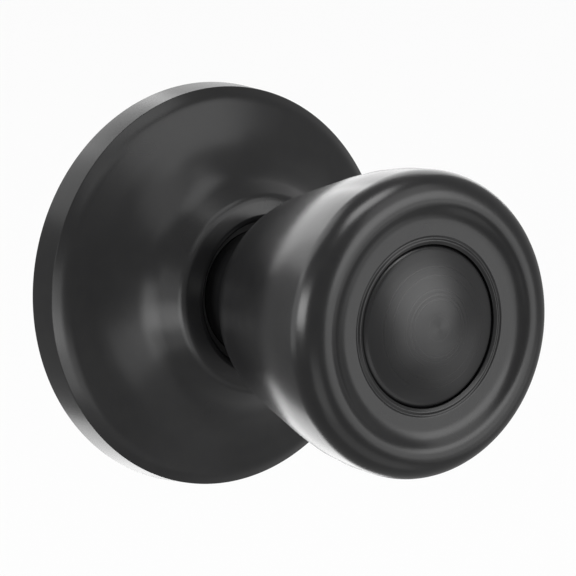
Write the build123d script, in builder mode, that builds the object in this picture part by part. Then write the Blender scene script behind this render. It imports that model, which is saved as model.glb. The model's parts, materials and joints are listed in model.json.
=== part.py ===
from build123d import *

import os
from math import asin, cos, degrees, radians, sin, sqrt

# Outer half of a passage knob set: a tulip knob turning in a round, sprung rose.
# Millimetres. +Z is up, the door's face is the plane y = 0 and the knob stands out along -Y.
# A distance "out" is measured from the door's face along -Y, so a negative one is inside the door.

FIT = 0.05  # clearance between parts that are fixed or run together

# Rose, a pressed cover
ROSE_FOOT = (33.04, -0.5)  # the skirt's line is carried past the door's face, then cut square there
ROSE_EDGE = (32.6, 5.15)  # radius and distance out of the crease round the skirt
ROSE_WALL = 0.9
COLLAR_OUT = 18.0
COLLAR_BORE_R = 11.9
COLLAR_BORE_BACK = 14.2
BUSHING_BORE_R = 10.5

# Knob, a pressed shell with its neck
NECK_R = 10.4
NECK_BACK = 13.9
KNOB_R = 23.4
CREST_OUT = 61.15
FACE_OUT = 60.0
KNOB_WALL = 1.1
CAP_HOLE_R = 12.35

# Domed cap in the middle of the knob's face
CAP_R = 12.2
DOME_R = 11.8
DOME_TOP = 62.3
DOME_RISE = 2.4
CAP_WALL = 1.0
CAP_STEP = 0.5  # short chamfer from the dome's edge to the cap's side
CAP_FLANGE_R = 14.6
CAP_FLANGE_THICKNESS = 0.9

# Turning sleeve and what it drives
SLEEVE_R = 8.2
SLEEVE_BORE_R = 6.7
SLEEVE_BACK = -3.9
SLEEVE_FRONT = 33.0
SLEEVE_FLAT = 7.5  # half the distance across the sleeve's flats
SPINDLE_WIDTH = 7.9
SPINDLE_REACH = 45.0
SPINDLE_FRONT = 14.5
PIN_R = 1.25
PIN_OUT = 10.0

# Mounting plate and the stop slot in it
PLATE_R = 30.6
PLATE_BACK = 0.9
PLATE_FRONT = 2.5
PLATE_RIM = 1.2
SLOT_INNER_R = 15.4
SLOT_OUTER_R = 17.8
SLOT_HALF_ANGLE = 71.2
RIVET_R = 0.8
RIVET_CIRCLE_R = 21.6
CUP_RIVET_ANGLES = (45, 135, 225, 315)
CLIP_RIVET_CIRCLE_R = 26.0
CLIP_ANGLES = (0, 120, 240)
CLIP_THICKNESS = 0.5

# Threaded posts on a vertical line
POST_OFFSET = 19.0
POST_R = 3.5
POST_REACH = 30.0
POST_SHANK_R = 2.9
THREAD_R = 2.1
THREAD_DEPTH = 22.0

# Hub that carries the sleeve
HUB_R = 10.3
HUB_BORE_R = 9.0
HUB_FRONT = 12.4
HUB_FLANGE_R = 12.0
BUSH_BORE_R = 8.28

# Spring cup, torsion spring and the tab between its legs
CUP_INNER_R = 14.6
CUP_WALL = 0.8
CUP_FRONT = 8.4
TAB_HALF_WIDTH = 3.0
TAB_INNER_X = 16.0
TAB_THICKNESS = 1.2
TAB_FRONT = 7.3
LUG_INNER_X = 18.2
LUG_THICKNESS = 1.0
WIRE_R = 0.6
COIL_R = 13.2
LOWER_LEG_OUT = 4.0
UPPER_LEG_OUT = 6.6
LEG_END_X = 19.6
LEG_OFFSET = TAB_HALF_WIDTH + WIRE_R + 0.15

# Catch in the neck
CATCH_OUT = 19.3
CATCH_TIP_R = 1.1
CATCH_HOLE_R = 1.2
CATCH_FLANGE_R = 2.2
CATCH_FLANGE_Z = -5.6
CATCH_FLANGE_HEIGHT = 0.8
CATCH_TIP_Z = -9.9


def radial_plane(angle):
    """Half-plane through the knob's axis: local x is radius, local y is distance out."""
    turn = radians(angle)
    return Plane(origin=(0, 0, 0), x_dir=(cos(turn), 0, sin(turn)), z_dir=(sin(turn), 0, -cos(turn)))


def door_plane(out):
    """Plane parallel to the door: local x is +X, local y is +Z, and extrusions go outward."""
    return Plane(origin=(0, -out, 0), x_dir=(1, 0, 0), z_dir=(0, -1, 0))


def level_plane(height):
    """Horizontal plane through the catch's own axis: local y is +Y, and extrusions go up."""
    return Plane(origin=(0, -CATCH_OUT, height), x_dir=(1, 0, 0), z_dir=(0, 0, 1))


PROFILE = radial_plane(0)


def save(piece, name):
    """Label a finished part and write it to its own file."""
    piece.part.label = name
    export_step(piece.part, f"parts/{name}.step")


def turned_ring(inner_r, outer_r, back, front):
    """A plain ring on the knob's axis."""
    with BuildPart() as ring:
        with BuildSketch(door_plane(back)):
            Circle(outer_r)
            Circle(inner_r, mode=Mode.SUBTRACT)
        extrude(amount=front - back)
    return ring


def sector(inner_r, outer_r, half_angle):
    """Part of a flat ring, centred on local +X."""
    with BuildSketch() as piece:
        with BuildLine():
            inside = CenterArc((0, 0), inner_r, -half_angle, 2 * half_angle)
            outside = CenterArc((0, 0), outer_r, -half_angle, 2 * half_angle)
            Line(inside @ 0, outside @ 0)
            Line(inside @ 1, outside @ 1)
        make_face()
    return piece.sketch


def double_flat(radius, half_width):
    """A circle with two flats that face left and right."""
    with BuildSketch() as piece:
        Circle(radius)
        Rectangle(2 * half_width, 2 * radius, mode=Mode.INTERSECT)
    return piece.sketch


def on_circle(radius, angle):
    """Local x and y of a place on a circle round the axis."""
    return radius * cos(radians(angle)), radius * sin(radians(angle))


def rivets(circle_r, angles, front):
    """Rivets through the mounting plate, headed behind it and at the given front face."""
    head_r, head_height = 1.4, 0.6
    with BuildPart() as group:
        for out, radius, length in (
            (PLATE_BACK - head_height, head_r, head_height),
            (PLATE_BACK, RIVET_R, front - PLATE_BACK),
            (front, head_r, head_height),
        ):
            with BuildSketch(door_plane(out)):
                with Locations(*[on_circle(circle_r, angle) for angle in angles]):
                    Circle(radius)
            extrude(amount=length)
    return group


def threaded_post(height):
    """A post staked into the mounting plate, with a hexagonal collar and a blind tapped hole."""
    collar_r, collar_height = 4.6, 1.2
    head_r, head_height = 3.45, 1.0
    head_back = PLATE_FRONT + CUP_WALL
    end_chamfer = 0.4
    with BuildPart() as post:
        with BuildSketch(door_plane(-POST_REACH)):
            with Locations((0, height)):
                Circle(POST_R)
        extrude(amount=POST_REACH + PLATE_BACK)
        with BuildSketch(door_plane(PLATE_BACK - collar_height)):
            with Locations((0, height)):
                RegularPolygon(collar_r, 6)
        extrude(amount=collar_height)
        with BuildSketch(door_plane(PLATE_BACK)):
            with Locations((0, height)):
                Circle(POST_SHANK_R)
        extrude(amount=head_back - PLATE_BACK)
        with BuildSketch(door_plane(head_back)):
            with Locations((0, height)):
                Circle(head_r)
        extrude(amount=head_height)
        with BuildSketch(door_plane(-POST_REACH)):
            with Locations((0, height)):
                Circle(THREAD_R)
        extrude(amount=THREAD_DEPTH, mode=Mode.SUBTRACT)
        chamfer(post.edges().filter_by(GeomType.CIRCLE).group_by(Axis.Y)[-1], length=end_chamfer)
    return post


os.makedirs("parts", exist_ok=True)

# Bore down through the neck for the catch, cut from every layer that the catch passes.
with BuildPart() as catch_bore:
    with BuildSketch(level_plane(-KNOB_R)):
        Circle(CATCH_HOLE_R)
    extrude(amount=KNOB_R)

# Bore across the sleeve for the pin, cut from sleeve, block and spindle.
with BuildPart() as pin_bore:
    with BuildSketch(Plane.YZ):
        with Locations((-PIN_OUT, 0)):
            Circle(PIN_R + FIT)
    extrude(amount=SLEEVE_R + 1, both=True)

# Rose: tapered skirt, crease, rounded lip, bell-shaped flare, soft-shouldered collar, rolled bore edge.
with BuildPart() as rose:
    with BuildSketch(PROFILE):
        with BuildLine():
            FilletPolyline(
                ROSE_FOOT,
                ROSE_EDGE,
                (30.9, 6.6),
                (24.4, 8.9),
                (19.2, 12.5),
                (15.8, 17.0),
                (COLLAR_BORE_R, COLLAR_OUT),
                (COLLAR_BORE_R, COLLAR_BORE_BACK),
                radius=[0.25, 5.0, 20.0, 12.0, 2.5, 1.0],
            )
            offset(amount=ROSE_WALL, side=Side.LEFT)
        make_face()
        with Locations((ROSE_FOOT[0], -ROSE_WALL)):
            Rectangle(4 * ROSE_WALL, 2 * ROSE_WALL, mode=Mode.SUBTRACT)
    revolve(axis=Axis.Y)
save(rose, "rose")

# Bushing: nylon ring in the collar's bore, with a flange behind the bore's edge.
with BuildPart() as rose_bushing:
    body_r, flange_r = COLLAR_BORE_R - FIT, 13.3
    flange_front, flange_back, body_front = COLLAR_BORE_BACK - 0.1, 13.2, 15.3
    with BuildSketch(PROFILE):
        with BuildLine():
            Polyline(
                (BUSHING_BORE_R, body_front),
                (body_r, body_front),
                (body_r, flange_front),
                (flange_r, flange_front),
                (flange_r, flange_back),
                (BUSHING_BORE_R, flange_back),
                close=True,
            )
        make_face()
    revolve(axis=Axis.Y)
save(rose_bushing, "rose_bushing")

# Knob shell: neck, tulip body, rolled rim, cove, recessed ring and the hole for the cap.
with BuildPart() as knob_shell:
    with BuildSketch(PROFILE):
        with BuildLine():
            FilletPolyline(
                (NECK_R, NECK_BACK),
                (NECK_R, 20.3),
                (16.77, 27.8),
                (KNOB_R, 51.1),
                (KNOB_R, CREST_OUT),
                (18.5, CREST_OUT),
                (16.6, FACE_OUT),
                (CAP_HOLE_R, FACE_OUT),
                radius=[2.0, 24.0, 41.0, 4.1, 2.8, 4.5],
            )
            offset(amount=KNOB_WALL, side=Side.LEFT)
        make_face()
    revolve(axis=Axis.Y)
    # Fine groove round the bead at the hole
    groove_r, groove_radius = 13.3, 0.28
    with BuildSketch(PROFILE):
        with Locations((groove_r, FACE_OUT)):
            Circle(groove_radius)
    revolve(axis=Axis.Y, mode=Mode.SUBTRACT)
    add(catch_bore.part, mode=Mode.SUBTRACT)
save(knob_shell, "knob_shell")


def dome_fall(radius, sphere_r):
    """How far a spherical dome has dropped at a radius from its middle."""
    return sphere_r - sqrt(sphere_r**2 - radius**2)


# Cap: a pressed dome with a step down to a flange behind the knob's face.
with BuildPart() as face_cap:
    sphere_r = (DOME_R**2 + DOME_RISE**2) / (2 * DOME_RISE)
    inner_sphere_r = sphere_r - CAP_WALL
    inner_r = CAP_R - CAP_WALL
    flange_front = FACE_OUT - KNOB_WALL - FIT
    flange_back = flange_front - CAP_FLANGE_THICKNESS
    with BuildSketch(PROFILE):
        with BuildLine():
            outside = ThreePointArc(
                (0, DOME_TOP),
                (DOME_R / 2, DOME_TOP - dome_fall(DOME_R / 2, sphere_r)),
                (DOME_R, DOME_TOP - DOME_RISE),
            )
            inside = ThreePointArc(
                (0, DOME_TOP - CAP_WALL),
                (inner_r / 2, DOME_TOP - CAP_WALL - dome_fall(inner_r / 2, inner_sphere_r)),
                (inner_r, DOME_TOP - CAP_WALL - dome_fall(inner_r, inner_sphere_r)),
            )
            Polyline(
                outside @ 1,
                (CAP_R, DOME_TOP - DOME_RISE - CAP_STEP),
                (CAP_R, flange_front),
                (CAP_FLANGE_R, flange_front),
                (CAP_FLANGE_R, flange_back),
                (inner_r, flange_back),
                inside @ 1,
            )
            Line(inside @ 0, outside @ 0)
        make_face()
    revolve(axis=Axis.Y)
save(face_cap, "face_cap")

# Retainer: flat spring ring behind the cap, with fingers that grip inside the rolled rim.
with BuildPart() as cap_retainer:
    thickness, hole_r, rim_clearance = 0.9, 10.8, 0.25
    slits, slit_circle_r, slit_length, slit_width = 12, 20.5, 7.0, 1.6
    front = FACE_OUT - KNOB_WALL - CAP_FLANGE_THICKNESS - 2 * FIT
    with BuildSketch(door_plane(front - thickness)):
        Circle(KNOB_R - KNOB_WALL - rim_clearance)
        Circle(hole_r, mode=Mode.SUBTRACT)
        with PolarLocations(slit_circle_r, slits):
            Rectangle(slit_length, slit_width, mode=Mode.SUBTRACT)
    extrude(amount=thickness)
save(cap_retainer, "cap_retainer")

# Knob hub: cast insert in the neck, with a flange that backs the tulip's throat and eight ribs.
with BuildPart() as knob_hub:
    hub_back, hub_front = NECK_BACK - 0.1, 36.0
    hub_r = NECK_R - KNOB_WALL - FIT
    flange_r, flange_back, flange_front = 13.9, 27.0, 29.0
    ribs, rib_inner_r, rib_outer_r, rib_width, rib_length = 8, 8.9, 13.8, 1.4, 5.0
    with BuildSketch(door_plane(hub_back)):
        Circle(hub_r)
    extrude(amount=hub_front - hub_back)
    with BuildSketch(door_plane(flange_back)):
        Circle(flange_r)
    extrude(amount=flange_front - flange_back)
    with BuildSketch(door_plane(flange_front)):
        with PolarLocations((rib_inner_r + rib_outer_r) / 2, ribs):
            Rectangle(rib_outer_r - rib_inner_r, rib_width)
    extrude(amount=rib_length)
    with BuildSketch(door_plane(hub_back)):
        add(double_flat(SLEEVE_R + FIT, SLEEVE_FLAT + FIT))
    extrude(amount=hub_front - hub_back, mode=Mode.SUBTRACT)
    add(catch_bore.part, mode=Mode.SUBTRACT)
save(knob_hub, "knob_hub")

# Drive sleeve: tube with flats for the hub at the front and for the cam at the back.
with BuildPart() as drive_sleeve:
    front_flats_back = NECK_BACK - 0.1
    back_flats_front = 0.5
    ring_groove_back, ring_groove_width, ring_groove_r = -3.4, 0.7, 7.7
    with BuildSketch(door_plane(SLEEVE_BACK)):
        add(double_flat(SLEEVE_R, SLEEVE_FLAT))
    extrude(amount=back_flats_front - SLEEVE_BACK)
    with BuildSketch(door_plane(back_flats_front)):
        Circle(SLEEVE_R)
    extrude(amount=front_flats_back - back_flats_front)
    with BuildSketch(door_plane(front_flats_back)):
        add(double_flat(SLEEVE_R, SLEEVE_FLAT))
    extrude(amount=SLEEVE_FRONT - front_flats_back)
    with BuildSketch(door_plane(SLEEVE_BACK)):
        Circle(SLEEVE_BORE_R)
    extrude(amount=SLEEVE_FRONT - SLEEVE_BACK, mode=Mode.SUBTRACT)
    with BuildSketch(door_plane(ring_groove_back)):
        Circle(SLEEVE_R + 1)
        Circle(ring_groove_r, mode=Mode.SUBTRACT)
    extrude(amount=ring_groove_width, mode=Mode.SUBTRACT)
    add(catch_bore.part, mode=Mode.SUBTRACT)
    add(pin_bore.part, mode=Mode.SUBTRACT)
save(drive_sleeve, "drive_sleeve")

# Spindle block: cast insert that carries the square spindle inside the sleeve.
with BuildPart() as spindle_block:
    block_back, block_front = -3.6, 15.0
    with BuildSketch(door_plane(block_back)):
        Circle(SLEEVE_BORE_R - FIT)
        Rectangle(SPINDLE_WIDTH + 2 * FIT, SPINDLE_WIDTH + 2 * FIT, mode=Mode.SUBTRACT)
    extrude(amount=block_front - block_back)
    add(pin_bore.part, mode=Mode.SUBTRACT)
save(spindle_block, "spindle_block")

# Spindle: square bar with chamfered ends.
with BuildPart() as spindle:
    end_chamfer = 0.8
    with BuildSketch(door_plane(-SPINDLE_REACH)):
        Rectangle(SPINDLE_WIDTH, SPINDLE_WIDTH)
    extrude(amount=SPINDLE_REACH + SPINDLE_FRONT)
    chamfer(spindle.faces().sort_by(Axis.Y)[-1].edges(), length=end_chamfer)
    add(pin_bore.part, mode=Mode.SUBTRACT)
save(spindle, "spindle")

# Cross pin through sleeve, block and spindle.
with BuildPart() as spindle_pin:
    pin_half_length = 8.0
    with BuildSketch(Plane.YZ):
        with Locations((-PIN_OUT, 0)):
            Circle(PIN_R)
    extrude(amount=pin_half_length, both=True)
save(spindle_pin, "spindle_pin")

# Mounting plate: flat disc with a rim turned back to the door, the hub hole and the stop slot.
with BuildPart() as mounting_plate:
    with BuildSketch(door_plane(PLATE_BACK)):
        Circle(PLATE_R)
        Circle(HUB_R + FIT, mode=Mode.SUBTRACT)
        add(sector(SLOT_INNER_R, SLOT_OUTER_R, SLOT_HALF_ANGLE), mode=Mode.SUBTRACT)
        with Locations((0, POST_OFFSET), (0, -POST_OFFSET)):
            Circle(POST_SHANK_R + FIT, mode=Mode.SUBTRACT)
        with Locations(*[on_circle(RIVET_CIRCLE_R, angle) for angle in CUP_RIVET_ANGLES]):
            Circle(RIVET_R + FIT, mode=Mode.SUBTRACT)
        with Locations(*[on_circle(CLIP_RIVET_CIRCLE_R, angle) for angle in CLIP_ANGLES]):
            Circle(RIVET_R + FIT, mode=Mode.SUBTRACT)
    extrude(amount=PLATE_FRONT - PLATE_BACK)
    with BuildSketch(door_plane(0)):
        Circle(PLATE_R)
        Circle(PLATE_R - PLATE_RIM, mode=Mode.SUBTRACT)
    extrude(amount=PLATE_BACK)
save(mounting_plate, "mounting_plate")

# Bearing hub: flanged tube swaged into the plate.
with BuildPart() as bearing_hub:
    flange_front = 4.0
    with BuildSketch(PROFILE):
        with BuildLine():
            Polyline(
                (HUB_BORE_R, PLATE_BACK),
                (HUB_R, PLATE_BACK),
                (HUB_R, PLATE_FRONT + FIT),
                (HUB_FLANGE_R, PLATE_FRONT + FIT),
                (HUB_FLANGE_R, flange_front),
                (HUB_R, flange_front),
                (HUB_R, HUB_FRONT),
                (HUB_BORE_R, HUB_FRONT),
                close=True,
            )
        make_face()
    revolve(axis=Axis.Y)
save(bearing_hub, "bearing_hub")

# Hub bushing: bronze tube with a thrust flange in front of the hub.
with BuildPart() as hub_bushing:
    tube_r, tube_back = HUB_BORE_R - FIT, PLATE_BACK + 0.2
    flange_r, flange_front = 10.2, 12.95
    with BuildSketch(PROFILE):
        with BuildLine():
            Polyline(
                (BUSH_BORE_R, tube_back),
                (tube_r, tube_back),
                (tube_r, HUB_FRONT + FIT),
                (flange_r, HUB_FRONT + FIT),
                (flange_r, flange_front),
                (BUSH_BORE_R, flange_front),
                close=True,
            )
        make_face()
    revolve(axis=Axis.Y)
save(hub_bushing, "hub_bushing")

# Spring cup: flange on the plate, windowed wall round the coil, front lip and the fixed lug.
with BuildPart() as spring_cup:
    flange_r, lip_r = 23.5, HUB_R + 0.6
    window_half_angle, window_back, window_front = 76, PLATE_FRONT + CUP_WALL, 7.4
    cup_outer_r = CUP_INNER_R + CUP_WALL
    with BuildSketch(door_plane(PLATE_FRONT)):
        Circle(flange_r)
        Circle(CUP_INNER_R, mode=Mode.SUBTRACT)
        add(sector(cup_outer_r, SLOT_OUTER_R, SLOT_HALF_ANGLE), mode=Mode.SUBTRACT)
        with Locations((0, POST_OFFSET), (0, -POST_OFFSET)):
            Circle(POST_SHANK_R + FIT, mode=Mode.SUBTRACT)
        with Locations(*[on_circle(RIVET_CIRCLE_R, angle) for angle in CUP_RIVET_ANGLES]):
            Circle(RIVET_R + FIT, mode=Mode.SUBTRACT)
    extrude(amount=CUP_WALL)
    with BuildSketch(door_plane(PLATE_FRONT)):
        Circle(cup_outer_r)
        Circle(CUP_INNER_R, mode=Mode.SUBTRACT)
    extrude(amount=CUP_FRONT - PLATE_FRONT)
    with BuildSketch(door_plane(CUP_FRONT - CUP_WALL)):
        Circle(cup_outer_r)
        Circle(lip_r, mode=Mode.SUBTRACT)
    extrude(amount=CUP_WALL)
    with BuildSketch(door_plane(window_back)):
        add(sector(CUP_INNER_R - CUP_WALL, cup_outer_r + CUP_WALL, window_half_angle))
    extrude(amount=window_front - window_back, mode=Mode.SUBTRACT)
    with BuildSketch(door_plane(PLATE_FRONT)):
        with Locations((LUG_INNER_X + LUG_THICKNESS / 2, 0)):
            Rectangle(LUG_THICKNESS, 2 * TAB_HALF_WIDTH)
    extrude(amount=TAB_FRONT - PLATE_FRONT)
save(spring_cup, "spring_cup")

save(rivets(RIVET_CIRCLE_R, CUP_RIVET_ANGLES, PLATE_FRONT + CUP_WALL), "cup_rivets")

# Rose clips: bent spring strips riveted to the plate, leaning out against the rose's skirt.
with BuildPart() as rose_clips:
    clip_half_width = 3.5
    clip_mid = PLATE_FRONT + CLIP_THICKNESS / 2 + FIT
    for angle in CLIP_ANGLES:
        with BuildSketch(radial_plane(angle)):
            with BuildLine():
                Polyline((24.0, clip_mid), (29.3, clip_mid), (30.3, clip_mid + 0.9), (31.1, clip_mid + 0.2))
            trace(line_width=CLIP_THICKNESS)
        extrude(amount=clip_half_width, both=True)
    with BuildSketch(door_plane(PLATE_FRONT)):
        with Locations(*[on_circle(CLIP_RIVET_CIRCLE_R, angle) for angle in CLIP_ANGLES]):
            Circle(RIVET_R + FIT)
    extrude(amount=2 * CLIP_THICKNESS, mode=Mode.SUBTRACT)
save(rose_clips, "rose_clips")

save(rivets(CLIP_RIVET_CIRCLE_R, CLIP_ANGLES, PLATE_FRONT + CLIP_THICKNESS + 2 * FIT), "clip_rivets")

save(threaded_post(POST_OFFSET), "post_upper")
save(threaded_post(-POST_OFFSET), "post_lower")

# Return spring: a close coil whose two straight legs stand either side of the tab and the lug.
with BuildPart() as return_spring:
    leg_angle = degrees(asin(LEG_OFFSET / COIL_R))
    rise = UPPER_LEG_OUT - LOWER_LEG_OUT
    turns = 2 - 2 * leg_angle / 360
    coil_plane = Plane(
        origin=(0, -LOWER_LEG_OUT, 0),
        x_dir=(cos(radians(leg_angle)), 0, sin(radians(leg_angle))),
        z_dir=(0, -1, 0),
    )
    with BuildLine(coil_plane) as coil:
        Helix(pitch=rise / turns, height=rise, radius=COIL_R, direction=(0, -1, 0))
    with BuildSketch(Plane(origin=coil.line @ 0, z_dir=coil.line % 0)):
        Circle(WIRE_R)
    sweep(path=coil.line, is_frenet=True)
    # Legs, each with a ball that rounds the bend from coil to leg
    leg_start_x = COIL_R * cos(radians(leg_angle))
    for out, offset_z in ((LOWER_LEG_OUT, LEG_OFFSET), (UPPER_LEG_OUT, -LEG_OFFSET)):
        with Locations((leg_start_x, -out, offset_z)):
            Sphere(WIRE_R)
        with BuildSketch(Plane(origin=(leg_start_x, -out, offset_z), z_dir=(1, 0, 0))):
            Circle(WIRE_R)
        extrude(amount=LEG_END_X - leg_start_x)
save(return_spring, "return_spring")

# Thrust washer: nylon ring between the bushing's flange and the knob hub.
thrust_outer_r, thrust_back, thrust_front = 10.2, 13.1, 13.75
save(turned_ring(SLEEVE_R + FIT, thrust_outer_r, thrust_back, thrust_front), "thrust_washer")

# Torque cam: disc keyed to the sleeve's flats, with an arm and a tab bent forward through the slot.
with BuildPart() as torque_cam:
    cam_r, cam_back, cam_front = 12.4, -1.1, 0.4
    with BuildSketch(door_plane(cam_back)):
        Circle(cam_r)
        with Locations(((TAB_INNER_X + TAB_THICKNESS) / 2, 0)):
            Rectangle(TAB_INNER_X + TAB_THICKNESS, 2 * TAB_HALF_WIDTH)
        add(double_flat(SLEEVE_R + FIT, SLEEVE_FLAT + FIT), mode=Mode.SUBTRACT)
    extrude(amount=cam_front - cam_back)
    with BuildSketch(door_plane(cam_front)):
        with Locations((TAB_INNER_X + TAB_THICKNESS / 2, 0)):
            Rectangle(TAB_THICKNESS, 2 * TAB_HALF_WIDTH)
    extrude(amount=TAB_FRONT - cam_front)
save(torque_cam, "torque_cam")

# Spring washer: shallow cone of thin spring steel.
with BuildPart() as spring_washer:
    inner_r, outer_r = SLEEVE_R + 2 * FIT, 11.6
    washer_back, dish, thickness = -2.0, 0.35, 0.45
    with BuildSketch(PROFILE):
        with BuildLine():
            Polyline(
                (inner_r, washer_back),
                (outer_r, washer_back + dish),
                (outer_r, washer_back + dish + thickness),
                (inner_r, washer_back + thickness),
                close=True,
            )
        make_face()
    revolve(axis=Axis.Y)
save(spring_washer, "spring_washer")

# Rear washer: plain ring between the spring washer and the retaining ring.
rear_outer_r, rear_back, rear_front = 11.2, -2.65, -2.05
save(turned_ring(SLEEVE_R + 2 * FIT, rear_outer_r, rear_back, rear_front), "rear_washer")

# Retaining ring: open snap ring in the sleeve's groove, with two holed ears.
with BuildPart() as retaining_ring:
    inner_r, outer_r, ring_back, thickness = 7.75, 9.6, -3.35, 0.6
    ear_x, ear_height, ear_r, ear_hole_r, gap = 2.4, 9.95, 1.5, 0.6, 1.8
    with BuildSketch(door_plane(ring_back)):
        Circle(outer_r)
        with Locations((ear_x, ear_height), (-ear_x, ear_height)):
            Circle(ear_r)
        Circle(inner_r, mode=Mode.SUBTRACT)
        with Locations((0, outer_r)):
            Rectangle(gap, outer_r, mode=Mode.SUBTRACT)
        with Locations((ear_x, ear_height), (-ear_x, ear_height)):
            Circle(ear_hole_r, mode=Mode.SUBTRACT)
    extrude(amount=thickness)
save(retaining_ring, "retaining_ring")

# Knob catch: plunger whose flange seats inside the sleeve and whose tip reaches through the neck.
with BuildPart() as knob_catch:
    tip_chamfer = 0.25
    with BuildSketch(level_plane(CATCH_FLANGE_Z)):
        Circle(CATCH_FLANGE_R)
    extrude(amount=CATCH_FLANGE_HEIGHT)
    with BuildSketch(level_plane(CATCH_TIP_Z)):
        Circle(CATCH_TIP_R)
    extrude(amount=CATCH_FLANGE_Z - CATCH_TIP_Z)
    chamfer(knob_catch.edges().sort_by(Axis.Z)[0], length=tip_chamfer)
save(knob_catch, "knob_catch")

# Catch spring: a bent strip between the catch's flange and the far side of the sleeve.
with BuildPart() as catch_spring:
    strip_thickness, strip_half_width = 0.35, 2.0
    foot_z = CATCH_FLANGE_Z + CATCH_FLANGE_HEIGHT + strip_thickness / 2 + FIT
    with BuildSketch(Plane(origin=(0, -CATCH_OUT, 0), x_dir=(1, 0, 0), z_dir=(0, -1, 0))):
        with BuildLine():
            FilletPolyline(
                (2.0, foot_z),
                (-2.6, foot_z),
                (-4.6, 0.6),
                (-2.4, 5.6),
                (1.6, 6.2),
                radius=1.2,
            )
        trace(line_width=strip_thickness)
    extrude(amount=strip_half_width, both=True)
save(catch_spring, "catch_spring")
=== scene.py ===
"""Looks for the outer half of a passage knob set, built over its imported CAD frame.

Every turned piece is an outline of (radius, out) points in millimetres, spun round the knob's axis.
"out" is the distance from the door's face towards the room, so it runs along -Y. +Z is up.
"""

import json
from math import asin, cos, pi, radians, sin, tan

import bmesh
import bpy
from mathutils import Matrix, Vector

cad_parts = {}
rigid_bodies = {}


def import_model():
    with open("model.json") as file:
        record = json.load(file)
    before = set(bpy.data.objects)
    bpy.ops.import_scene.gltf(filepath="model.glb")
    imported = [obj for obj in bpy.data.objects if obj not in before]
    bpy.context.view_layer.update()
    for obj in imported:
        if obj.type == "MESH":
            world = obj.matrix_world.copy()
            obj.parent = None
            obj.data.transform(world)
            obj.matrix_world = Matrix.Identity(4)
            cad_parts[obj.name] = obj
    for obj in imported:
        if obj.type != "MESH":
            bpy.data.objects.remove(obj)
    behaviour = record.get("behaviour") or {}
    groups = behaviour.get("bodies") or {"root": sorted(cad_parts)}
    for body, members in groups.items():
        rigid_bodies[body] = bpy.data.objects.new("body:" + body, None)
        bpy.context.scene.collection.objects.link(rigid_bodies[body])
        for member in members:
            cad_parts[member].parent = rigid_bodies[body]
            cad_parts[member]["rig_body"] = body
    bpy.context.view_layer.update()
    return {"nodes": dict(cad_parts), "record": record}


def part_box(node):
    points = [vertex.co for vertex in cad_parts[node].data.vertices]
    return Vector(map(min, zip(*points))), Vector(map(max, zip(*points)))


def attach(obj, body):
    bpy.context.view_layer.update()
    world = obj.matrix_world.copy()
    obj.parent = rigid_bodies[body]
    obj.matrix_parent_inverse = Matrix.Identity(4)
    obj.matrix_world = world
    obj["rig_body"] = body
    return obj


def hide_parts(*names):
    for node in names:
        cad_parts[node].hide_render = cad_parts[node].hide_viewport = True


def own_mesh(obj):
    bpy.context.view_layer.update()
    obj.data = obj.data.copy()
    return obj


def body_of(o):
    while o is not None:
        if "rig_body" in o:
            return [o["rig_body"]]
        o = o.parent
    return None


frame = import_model()

BODY_OF = {node: body_of(cad_node)[0] for node, cad_node in frame["nodes"].items()}
SLOT_OF = {part["node"]: part["material_slot"] for part in frame["record"]["subparts"]}

MM = 0.001
TURNED_SEGMENTS = 256
SHARP_ANGLE = radians(32)

# Main sizes, read from the CAD nodes
ROSE_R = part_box("rose")[1].x / MM
KNOB_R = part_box("knob_shell")[1].x / MM
KNOB_FRONT = -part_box("knob_shell")[0].y / MM
KNOB_BACK = -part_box("knob_shell")[1].y / MM
CAP_FRONT = -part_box("face_cap")[0].y / MM
CAP_BACK = -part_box("face_cap")[1].y / MM
CATCH_PLACE = sum(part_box("knob_catch"), Vector()) / 2

# Rose outline
ROSE_WALL = 0.9
ROSE_BORE_R = 11.9
COLLAR_OUT = 18.0
BORE_BACK = 14.2

# Knob outline
KNOB_WALL = 1.1
NECK_R = 10.4
FACE_DEPTH = 1.15
CAP_HOLE_R = 12.35
CATCH_HOLE_R = 1.2

# Cap outline
CAP_R = 12.2
DOME_R = 11.8
DOME_RISE = 2.4
DOME_STEPS = 24
CAP_WALL = 1.0
CAP_FLANGE_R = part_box("face_cap")[1].x / MM


# CAD nodes that show from behind or below, with the radius in mm that their edges are rounded to
SOFTENED = {
    "mounting_plate": 0.15,
    "torque_cam": 0.15,
    "spring_washer": 0.06,
    "rear_washer": 0.08,
    "retaining_ring": 0.08,
    "drive_sleeve": 0.1,
    "spindle_block": 0.15,
    "spindle": 0.12,
    "post_upper": 0.15,
    "post_lower": 0.15,
    "cup_rivets": 0.25,
    "clip_rivets": 0.25,
    "knob_catch": 0.1,
}
WELD = 2e-6
TOUCHING = 1e-7
STRAIGHT = 1e-4
SHARPEST_MITRE = 0.3
FLAT_ANGLE = radians(0.5)


# Camera
CAMERA_AZIMUTH = radians(-35.3)
CAMERA_ELEVATION = radians(7.82)
CAMERA_DISTANCE = 0.5256
CAMERA_RIGHT = 0.0135
CAMERA_UP = -0.00086
CAMERA_LENS = 200
CAMERA_SENSOR = 36

# Lights, room and floor
LIGHT_DISTANCE = 0.7
LIGHT_TARGET = Vector((0, -0.03, 0))
ROOM_RADIANCE = 0.38
BACKDROP = 0.97
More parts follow.
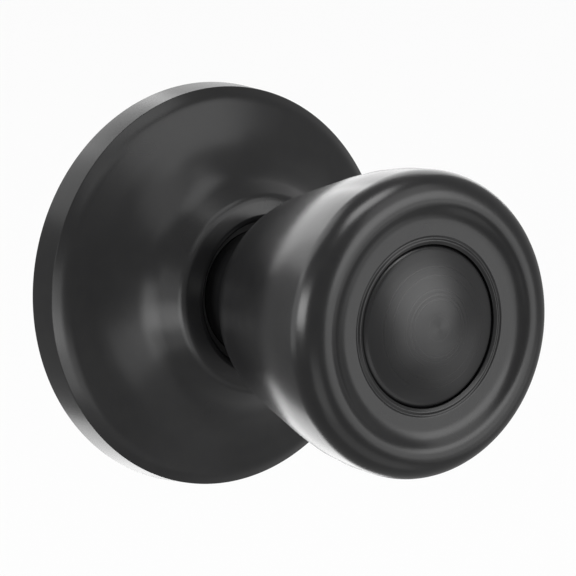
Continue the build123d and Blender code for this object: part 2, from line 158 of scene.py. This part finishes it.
# Softboxes round the knob: name, azimuth, elevation, width and height in degrees,
# then the radiance on the rose's pieces and on the knob's pieces. Seven of the knob's radiances and
# two of the rose's are rounded results of a least-squares fit. The others were moved or set one by one.
SOFTBOXES = [
    ("key_low", 28, -12, 36, 22, 4.0, 1.4),
    ("key", 25, 10, 36, 22, 3.0, 3.2),
    ("key_high", 25, 34, 36, 26, 1.4, 1.2),
    ("front_high", -20, 42, 40, 22, 0.8, 0),
    ("overhead", -10, 68, 34, 22, 1.5, 5.6),
    ("left", -90, 9, 36, 20, 1.3, 6.8),
    ("left_low", -88, -20, 40, 22, 1.8, 0),
    ("left_front", -58, -4, 20, 16, 1.9, 0),
    ("left_front_low", -58, -20, 22, 16, 3.6, 0),
    ("left_front_deep", -58, -38, 24, 18, 1.3, 0),
    ("left_back", -125, 5, 28, 40, 0, 1.2),
    ("front_low", -34, -32, 30, 26, 1.0, 0.9),
    ("front_deep", 0, -58, 60, 24, 0.2, 0.5),
    ("right_low", 54, -22, 28, 22, 0, 0.6),
    ("back_right", 138, 30, 40, 50, 0.9, 1.9),
    ("back_high", 176, 26, 34, 30, 2.0, 2.6),
    ("back_left", -145, 40, 34, 40, 0.8, 1.6),
    ("back_below", 166, -36, 36, 26, 2.4, 2.4),
]
FLOOR_DROP = 0.95
FLOOR_HALF = 30.0
FLOOR_SUN = 2.3


# ---------------------------------------------------------------- outlines

def corner_arc(before, corner, after, radius, step=radians(5)):
    """Points of the arc that rounds one corner of an outline."""
    into = (corner - before).normalized()
    away = (after - corner).normalized()
    turn = into.angle_signed(away)
    if radius == 0 or abs(turn) < STRAIGHT:
        return [corner]
    setback = radius * tan(abs(turn) / 2)
    start = corner - into * setback
    side = Vector((-into.y, into.x)) * (-1 if turn > 0 else 1)
    centre = start + side * radius
    count = max(2, round(abs(turn) / step))
    spoke = start - centre
    points = []
    for i in range(count + 1):
        angle = -turn * i / count
        points.append(centre + Vector((
            spoke.x * cos(angle) - spoke.y * sin(angle),
            spoke.x * sin(angle) + spoke.y * cos(angle),
        )))
    return points


def rounded(corners, radii):
    """An open outline through the corners, with each inner corner rounded to its radius."""
    corners = [Vector(c) for c in corners]
    points = [corners[0]]
    for before, corner, after, radius in zip(corners, corners[1:], corners[2:], radii):
        points += corner_arc(before, corner, after, radius)
    return points + [corners[-1]]


def inner_side(outline, wall):
    """The outline moved in by the wall's thickness, to the left of its direction."""
    moved = []
    for i, point in enumerate(outline):
        into = (point - outline[max(i - 1, 0)]).normalized()
        away = (outline[min(i + 1, len(outline) - 1)] - point).normalized()
        along = (into + away).normalized()
        reach = wall / max(along.dot(away if i == 0 else into), SHARPEST_MITRE)
        moved.append(point + Vector((-along.y, along.x)) * reach)
    return moved


def pressed(outline, wall):
    """Closed outline of a sheet of even thickness whose outside follows the outline."""
    return outline + inner_side(outline, wall)[::-1]


# ---------------------------------------------------------------- meshes

def finish_mesh(name, bm, body, node):
    """Turn a bmesh into a piece that rides on a body in place of its CAD node."""
    bmesh.ops.recalc_face_normals(bm, faces=bm.faces)
    for face in bm.faces:
        face.smooth = True
    for edge in bm.edges:
        edge.smooth = edge.is_manifold and edge.calc_face_angle() < SHARP_ANGLE
    mesh = bpy.data.meshes.new(name)
    bm.to_mesh(mesh)
    bm.free()
    piece = bpy.data.objects.new(name, mesh)
    bpy.context.scene.collection.objects.link(piece)
    mesh.materials.append(FINISHES[SLOT_OF[node]])
    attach(piece, body)
    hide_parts(node)
    return piece


def spin(outline, segments=TURNED_SEGMENTS):
    """A closed outline turned once round the knob's axis, as a bmesh in metres."""
    bm = bmesh.new()
    rings = []
    for i in range(segments):
        angle = 2 * pi * i / segments
        rings.append([
            bm.verts.new((p.x * cos(angle) * MM, -p.y * MM, p.x * sin(angle) * MM)) for p in outline
        ])
    for i in range(segments):
        ring, following = rings[i - 1], rings[i]
        for j in range(len(outline)):
            bm.faces.new((ring[j - 1], ring[j], following[j], following[j - 1]))
    bmesh.ops.remove_doubles(bm, verts=bm.verts, dist=TOUCHING)
    bmesh.ops.dissolve_degenerate(bm, edges=bm.edges, dist=TOUCHING)
    return bm


def drilled(bm, radius, place, height, segments=48):
    """The bmesh with a round hole cut upwards from a place in its underside."""
    cutter = bmesh.new()
    for z in (0, height):
        circle = [2 * pi * i / segments for i in range(segments)]
        corners = [cutter.verts.new(place + Vector((radius * cos(a), radius * sin(a), z))) for a in circle]
        cutter.faces.new(corners)
    bmesh.ops.bridge_loops(cutter, edges=cutter.edges[:])
    bmesh.ops.recalc_face_normals(cutter, faces=cutter.faces)
    bmesh.ops.recalc_face_normals(bm, faces=bm.faces)
    solids = []
    for name, solid in (("drilled", bm), ("drill", cutter)):
        mesh = bpy.data.meshes.new(name)
        solid.to_mesh(mesh)
        solid.free()
        solids.append(bpy.data.objects.new(name, mesh))
        bpy.context.scene.collection.objects.link(solids[-1])
    cut = solids[0].modifiers.new("hole", "BOOLEAN")
    cut.object = solids[1]
    cut.solver = "EXACT"
    result = bmesh.new()
    result.from_object(solids[0], bpy.context.evaluated_depsgraph_get())
    for solid in solids:
        bpy.data.objects.remove(solid)
    return result


# ---------------------------------------------------------------- materials

def principled(material):
    """The material's Principled shader."""
    return material.node_tree.nodes["Principled BSDF"]


def new_material(name, colour, roughness, metallic=0.0):
    """A node material with its Principled shader set; the finishes below add their detail to it."""
    material = bpy.data.materials.new(name)
    material.use_nodes = True
    shader = principled(material)
    shader.inputs["Base Color"].default_value = (*colour, 1)
    shader.inputs["Roughness"].default_value = roughness
    shader.inputs["Metallic"].default_value = metallic
    return material


def add_node(material, kind, **settings):
    """A new shader node; a setting names either a property of the node or one of its inputs."""
    node = material.node_tree.nodes.new(kind)
    for name, value in settings.items():
        if hasattr(node, name):
            setattr(node, name, value)
        else:
            node.inputs[name.replace("_", " ")].default_value = value
    return node


def connect(material, source, output, target, socket):
    """Link one node's output to another node's input."""
    material.node_tree.links.new(source.outputs[output], target.inputs[socket])


def noise(material, size, detail=2.0, stretch=(1, 1, 1)):
    """Noise whose features are about size mm wide, and longer along an axis by its stretch."""
    place = add_node(material, "ShaderNodeTexCoord")
    scale = add_node(material, "ShaderNodeMapping")
    scale.inputs["Scale"].default_value = [1 / (size * MM * s) for s in stretch]
    texture = add_node(material, "ShaderNodeTexNoise", Scale=1.0, Detail=detail)
    connect(material, place, "Object", scale, "Vector")
    connect(material, scale, "Vector", texture, "Vector")
    return texture


def turned_noise(material, size, detail=3.0):
    """Noise in rings round the knob's axis, as a cutting tool leaves on a turned face."""
    place = add_node(material, "ShaderNodeTexCoord")
    flatten = add_node(material, "ShaderNodeVectorMath", operation="MULTIPLY")
    flatten.inputs[1].default_value = (1, 0, 1)
    radius = add_node(material, "ShaderNodeVectorMath", operation="LENGTH")
    texture = add_node(
        material, "ShaderNodeTexNoise", noise_dimensions="1D", Scale=1 / (size * MM), Detail=detail,
    )
    connect(material, place, "Object", flatten, 0)
    connect(material, flatten, "Vector", radius, 0)
    connect(material, radius, "Value", texture, "W")
    return texture


def vary(material, texture, socket, low, high):
    """Run one of the shader's numbers between two values, following a texture."""
    level = add_node(material, "ShaderNodeMapRange", From_Min=0.3, From_Max=0.7, To_Min=low, To_Max=high)
    connect(material, texture, 0, level, "Value")
    connect(material, level, "Result", principled(material), socket)


def tint(material, texture, first, second):
    """Run the shader's colour between two colours, following a texture."""
    ramp = add_node(material, "ShaderNodeValToRGB")
    for stop, position, colour in zip(ramp.color_ramp.elements, (0.35, 0.65), (first, second)):
        stop.position = position
        stop.color = (*colour, 1)
    connect(material, texture, 0, ramp, "Fac")
    connect(material, ramp, "Color", principled(material), "Base Color")


def relief(material, *layers):
    """Bump the surface with textures, each with its depth in mm."""
    previous = None
    for texture, depth in layers:
        bump = add_node(material, "ShaderNodeBump", Strength=1.0, Distance=depth * MM)
        connect(material, texture, 0, bump, "Height")
        if previous:
            connect(material, previous, "Normal", bump, "Normal")
        previous = bump
    connect(material, previous, "Normal", principled(material), "Normal")


def black_lacquer():
    """Satin black lacquer: a faint orange peel, and a gloss that drifts a little over the surface."""
    material = new_material("black_lacquer", (0.009, 0.009, 0.0095), 0.26)
    vary(material, noise(material, 9.0), "Roughness", 0.245, 0.275)
    tint(material, noise(material, 2.5, 4.0), (0.0075, 0.0075, 0.008), (0.0095, 0.0095, 0.0098))
    relief(material, (noise(material, 0.9, 2.0), 0.0035))
    return material


def turned_lacquer():
    """Black lacquer over a turned face: fine rings round the middle that draw the sheen into a fan."""
    material = new_material("turned_lacquer", (0.010, 0.010, 0.0105), 0.30)
    shader = principled(material)
    shader.inputs["Anisotropic"].default_value = 0.55
    around = add_node(material, "ShaderNodeTangent", direction_type="RADIAL", axis="Y")
    connect(material, around, "Tangent", shader, "Tangent")
    vary(material, turned_noise(material, 0.35), "Roughness", 0.27, 0.34)
    relief(material, (turned_noise(material, 0.18), 0.0035), (noise(material, 0.9, 2.0), 0.002))
    return material


def zinc_plating():
    """Zinc-plated sheet steel: rolled grain, a cloudy plating and small spangles."""
    material = new_material("zinc_plating", (0.46, 0.47, 0.49), 0.34, 1.0)
    tint(material, noise(material, 7.0, 5.0), (0.42, 0.43, 0.45), (0.50, 0.51, 0.52))
    vary(material, noise(material, 1.2, 3.0), "Roughness", 0.27, 0.42)
    relief(material, (noise(material, 0.16, 2.0, (14, 1, 1)), 0.0012), (noise(material, 0.6, 3.0), 0.0012))
    return material


def cast_zinc():
    """Die-cast zinc: dull, with flow clouds and a finely pitted skin."""
    material = new_material("cast_zinc", (0.40, 0.40, 0.41), 0.48, 1.0)
    tint(material, noise(material, 3.5, 5.0), (0.33, 0.33, 0.34), (0.45, 0.45, 0.46))
    vary(material, noise(material, 0.8, 4.0), "Roughness", 0.42, 0.58)
    relief(material, (noise(material, 0.25, 4.0), 0.008))
    return material


def spring_steel():
    """Tempered spring steel: a blue-grey skin with fine drawn lines."""
    material = new_material("spring_steel", (0.20, 0.21, 0.23), 0.32, 1.0)
    tint(material, noise(material, 2.0, 4.0), (0.15, 0.16, 0.19), (0.25, 0.25, 0.27))
    vary(material, noise(material, 0.6, 3.0), "Roughness", 0.26, 0.42)
    relief(material, (noise(material, 0.1, 2.0, (8, 1, 1)), 0.002))
    return material


def bright_steel():
    """Bright drawn steel: fine lines along the bar and a few duller patches."""
    material = new_material("bright_steel", (0.50, 0.50, 0.51), 0.28, 1.0)
    tint(material, noise(material, 5.0, 4.0, (1, 4, 1)), (0.46, 0.46, 0.47), (0.54, 0.54, 0.54))
    vary(material, noise(material, 1.2, 3.0, (1, 8, 1)), "Roughness", 0.24, 0.33)
    relief(material, (noise(material, 0.12, 2.0, (1, 24, 1)), 0.0008))
    return material


def sintered_bronze():
    """Sintered bronze: warm, matt with oil, and full of fine pores."""
    material = new_material("sintered_bronze", (0.46, 0.30, 0.15), 0.42, 1.0)
    tint(material, noise(material, 1.0, 5.0), (0.36, 0.23, 0.11), (0.52, 0.35, 0.18))
    vary(material, noise(material, 0.4, 3.0), "Roughness", 0.36, 0.55)
    relief(material, (noise(material, 0.15, 3.0), 0.012))
    return material


def moulded_nylon(name, dark, light):
    """Moulded nylon: matt, with a faint spark-eroded grain and slight colour drift."""
    material = new_material(name, light, 0.5)
    tint(material, noise(material, 3.0, 3.0), dark, light)
    vary(material, noise(material, 0.7, 2.0), "Roughness", 0.45, 0.58)
    relief(material, (noise(material, 0.2, 2.0), 0.005))
    return material


FINISHES = {
    "satin_black": black_lacquer(),
    "turned_black": turned_lacquer(),
    "zinc_plate": zinc_plating(),
    "zinc_cast": cast_zinc(),
    "spring_steel": spring_steel(),
    "bright_steel": bright_steel(),
    "sintered_bronze": sintered_bronze(),
    "black_nylon": moulded_nylon("black_nylon", (0.018, 0.018, 0.018), (0.028, 0.028, 0.029)),
    "white_nylon": moulded_nylon("white_nylon", (0.70, 0.69, 0.65), (0.78, 0.77, 0.74)),
}


# ---------------------------------------------------------------- rose and knob

def make_rose():
    """Rose: tapered skirt, rounded lip, bell-shaped flare to the collar and a rolled bore edge."""
    outline = rounded(
        [
            (ROSE_R, 0), (32.6, 5.15), (30.9, 6.6), (24.4, 8.9), (19.2, 12.5), (15.8, 17.0),
            (ROSE_BORE_R, COLLAR_OUT), (ROSE_BORE_R, BORE_BACK),
        ],
        [0.25, 5.0, 20.0, 12.0, 2.5, 1.0],
    )
    finish_mesh("rose_cover", spin(pressed(outline, ROSE_WALL)), "rose_assembly", "rose")


def make_knob_shell():
    """Knob shell: neck, tulip body, rolled rim, cove, recessed ring and the hole for the cap."""
    face = KNOB_FRONT - FACE_DEPTH
    outline = rounded(
        [
            (NECK_R, KNOB_BACK), (NECK_R, 20.3), (16.77, 27.8), (KNOB_R, 51.1),
            (KNOB_R, KNOB_FRONT), (18.5, KNOB_FRONT), (16.6, face), (13.7, face), (13.35, face - 0.22),
            (12.95, face + 0.06), (CAP_HOLE_R, face - 0.2), (CAP_HOLE_R, face - 0.7),
        ],
        [2.0, 24.0, 41.0, 4.1, 2.8, 4.5, 0.3, 0.25, 0.25, 0.15],
    )
    hole_foot = Vector((0, CATCH_PLACE.y, -KNOB_R * MM))
    shell = drilled(spin(pressed(outline, KNOB_WALL)), CATCH_HOLE_R * MM, hole_foot, KNOB_R * MM)
    finish_mesh("knob_body", shell, "knob", "knob_shell")


def make_face_cap():
    """Cap: a pressed dome with a step down to the flange behind the knob's face."""
    sphere_r = (DOME_R ** 2 + DOME_RISE ** 2) / (2 * DOME_RISE)
    edge_angle = asin(DOME_R / sphere_r)
    dome = []
    for i in range(DOME_STEPS + 1):
        angle = edge_angle * i / DOME_STEPS
        dome.append(Vector((sphere_r * sin(angle), CAP_FRONT - sphere_r * (1 - cos(angle)))))
    skirt = rounded(
        [dome[-1], (CAP_R, dome[-1].y - 0.5), (CAP_R, CAP_BACK + 0.9), (CAP_FLANGE_R, CAP_BACK + 0.9),
         (CAP_FLANGE_R, CAP_BACK)],
        [0.3, 0.2, 0.1],
    )
    inside_r = CAP_R - CAP_WALL
    inside = [(inside_r, CAP_BACK)] + [
        (p.x * inside_r / DOME_R, p.y - CAP_WALL) for p in reversed(dome)
    ]
    outline = dome + skirt[1:] + [Vector(p) for p in inside]
    finish_mesh("domed_cap", spin(outline), "knob", "face_cap")


def soften(node, edge, segments=2):
    """A copy of a CAD node whose sharp edges are rounded by edge mm, to stand for it."""
    source = frame["nodes"][node]
    bm = bmesh.new()
    bm.from_mesh(source.data)
    bm.transform(source.matrix_world)
    bmesh.ops.remove_doubles(bm, verts=bm.verts, dist=WELD)
    bmesh.ops.dissolve_limit(bm, angle_limit=FLAT_ANGLE, verts=bm.verts, edges=bm.edges)
    sharp = [e for e in bm.edges if e.is_manifold and e.calc_face_angle() > SHARP_ANGLE]
    bmesh.ops.bevel(
        bm, geom=sharp, offset=edge * MM, segments=segments, profile=0.5, affect="EDGES",
        offset_type="OFFSET", clamp_overlap=True,
    )
    piece = finish_mesh(node + "_finished", bm, BODY_OF[node], node)
    shading = piece.modifiers.new("flat_faces_stay_flat", "WEIGHTED_NORMAL")
    shading.keep_sharp = True
    return piece


def make_catch_spring():
    """The catch's strip spring, with rounded edges and a mesh of its own."""
    spring = soften("catch_spring", 0.05)
    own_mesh(spring)


make_rose()
make_knob_shell()
make_face_cap()
for node, edge in SOFTENED.items():
    soften(node, edge)
make_catch_spring()
for node, cad_node in frame["nodes"].items():
    for material_slot in cad_node.material_slots:
        material_slot.material = FINISHES[SLOT_OF[node]]


# ---------------------------------------------------------------- camera and light

def make_camera():
    """Camera in front of the door, to the knob's left and a little above it."""
    azimuth, elevation = CAMERA_AZIMUTH, CAMERA_ELEVATION
    back = Vector((sin(azimuth) * cos(elevation), -cos(azimuth) * cos(elevation), sin(elevation)))
    right = Vector((cos(azimuth), sin(azimuth), 0))
    up = back.cross(right)
    camera = bpy.data.objects.new("camera", bpy.data.cameras.new("camera"))
    camera.data.lens = CAMERA_LENS
    camera.data.sensor_width = CAMERA_SENSOR
    camera.data.clip_start = 0.01
    camera.location = back * CAMERA_DISTANCE + right * CAMERA_RIGHT + up * CAMERA_UP
    camera.rotation_mode = "QUATERNION"
    camera.rotation_quaternion = (-back).to_track_quat("-Z", "Y")
    bpy.context.scene.collection.objects.link(camera)
    bpy.context.scene.camera = camera


def direction(azimuth, elevation):
    """Unit vector; azimuth 0 points from the door into the room and grows to the right."""
    across = cos(radians(elevation))
    return Vector((
        across * sin(radians(azimuth)), -across * cos(radians(azimuth)), sin(radians(elevation)),
    ))


def pieces_on(*bodies):
    """A collection of every piece and CAD node that rides on these bodies, for lamps to be limited to."""
    group = bpy.data.collections.new("on_" + bodies[0])
    for thing in bpy.data.objects:
        riding = body_of(thing)
        if thing.type == "MESH" and riding and riding[0] in bodies:
            group.objects.link(thing)
    return group


def softbox(name, azimuth, elevation, width, height, radiance, receivers):
    """Rectangular light on its receivers, spanning width and height degrees as seen from the knob."""
    light = bpy.data.lights.new(name, "AREA")
    light.shape = "RECTANGLE"
    light.size = 2 * LIGHT_DISTANCE * tan(radians(width) / 2)
    light.size_y = 2 * LIGHT_DISTANCE * tan(radians(height) / 2)
    light.energy = pi * light.size * light.size_y * radiance
    lamp = bpy.data.objects.new(name, light)
    towards = direction(azimuth, elevation)
    lamp.location = LIGHT_TARGET + towards * LIGHT_DISTANCE
    lamp.rotation_mode = "QUATERNION"
    lamp.rotation_quaternion = towards.to_track_quat("Z", "Y")
    lamp.light_linking.receiver_collection = receivers
    bpy.context.scene.collection.objects.link(lamp)


def make_floor():
    """Plain pale floor below the knob, lit evenly by a soft lamp of its own."""
    mesh = bpy.data.meshes.new("floor")
    corners = [(x * FLOOR_HALF, y * FLOOR_HALF, -FLOOR_DROP) for x, y in ((-1, -1), (1, -1), (1, 1), (-1, 1))]
    mesh.from_pydata(corners, [], [(0, 1, 2, 3)])
    mesh.materials.append(new_material("pale_floor", (0.9, 0.9, 0.9), 0.9))
    floor = bpy.data.objects.new("floor", mesh)
    floor.visible_glossy = False
    floor.visible_diffuse = False
    bpy.context.scene.collection.objects.link(floor)
    lamp = bpy.data.objects.new("floor_lamp", bpy.data.lights.new("floor_lamp", "SUN"))
    lamp.data.energy = FLOOR_SUN
    lamp.data.angle = radians(40)
    bpy.context.scene.collection.objects.link(lamp)
    lit = bpy.data.collections.new("lit_by_floor_lamp")
    lit.objects.link(floor)
    lamp.light_linking.receiver_collection = lit


def make_room():
    """Dim grey surroundings for the reflections, behind a backdrop that the camera sees as near-white."""
    world = bpy.data.worlds.new("studio")
    world.use_nodes = True
    nodes, links = world.node_tree.nodes, world.node_tree.links
    background = nodes["Background"]
    background.inputs["Color"].default_value = (1, 1, 1, 1)
    path = nodes.new("ShaderNodeLightPath")
    level = nodes.new("ShaderNodeMapRange")
    level.inputs["To Min"].default_value = ROOM_RADIANCE
    level.inputs["To Max"].default_value = BACKDROP
    links.new(path.outputs["Is Camera Ray"], level.inputs["Value"])
    links.new(level.outputs["Result"], background.inputs["Strength"])
    bpy.context.scene.world = world


make_camera()
make_room()
make_floor()
rose_side = pieces_on("rose_assembly")
knob_side = pieces_on("knob", "catch")
for name, azimuth, elevation, width, height, on_rose, on_knob in SOFTBOXES:
    for radiance, receivers, suffix in ((on_rose, rose_side, "_on_rose"), (on_knob, knob_side, "_on_knob")):
        if radiance:
            softbox(name + suffix, azimuth, elevation, width, height, radiance, receivers)
bpy.context.scene.view_settings.view_transform = "Standard"
bpy.context.scene.cycles.use_denoising = True
